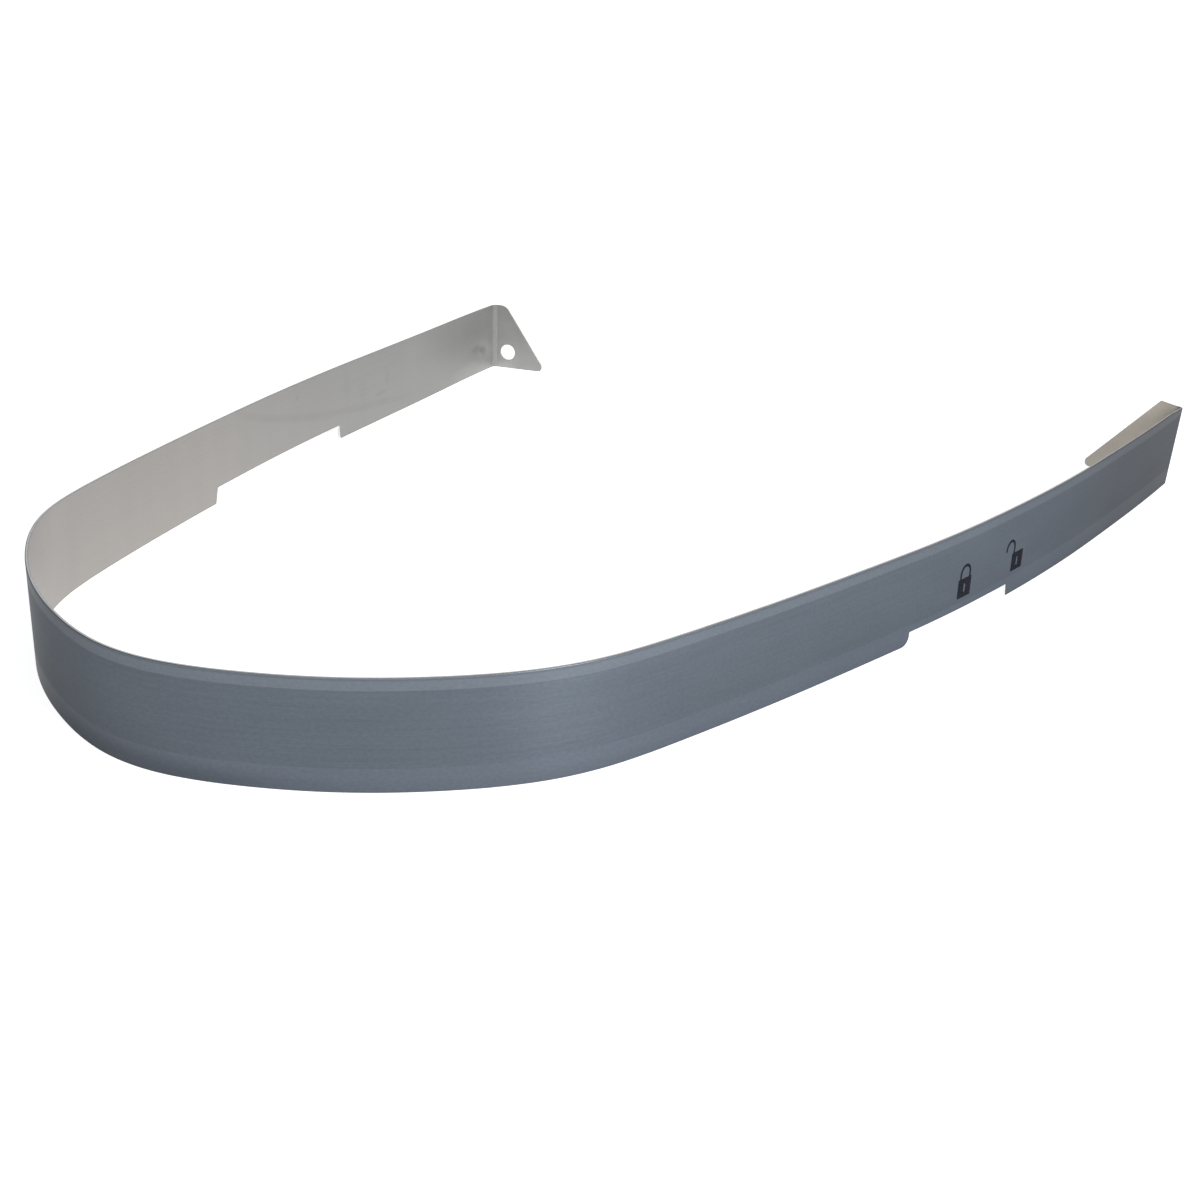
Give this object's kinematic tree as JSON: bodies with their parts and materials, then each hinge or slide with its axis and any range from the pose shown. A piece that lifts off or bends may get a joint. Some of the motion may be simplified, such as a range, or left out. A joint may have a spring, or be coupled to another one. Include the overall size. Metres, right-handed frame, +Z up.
{
  "type": "stand mixer trim band",
  "caption": "U-shaped trim band of thin aluminium sheet for a stand mixer's motor head, with lever cut-outs in its lower edge and a folded screw tab at each arm end.",
  "frame": {"origin": "middle of the lower face of the bounding box; the band stands on its lower edge", "axes": "+Z up across the strip; +X along the U from the blunt front to the open rear; the arm with the shorter cut-out is on the -Y side"},
  "size_m": [0.2992, 0.2342, 0.022],
  "materials": {
    "sheet": "satin sheet, lengthwise brushed on the outer face with a smooth border along each edge, plain mill finish inside"
  },
  "bodies": {
    "root": {"trim_band": "sheet"}
  },
  "joints": []
}
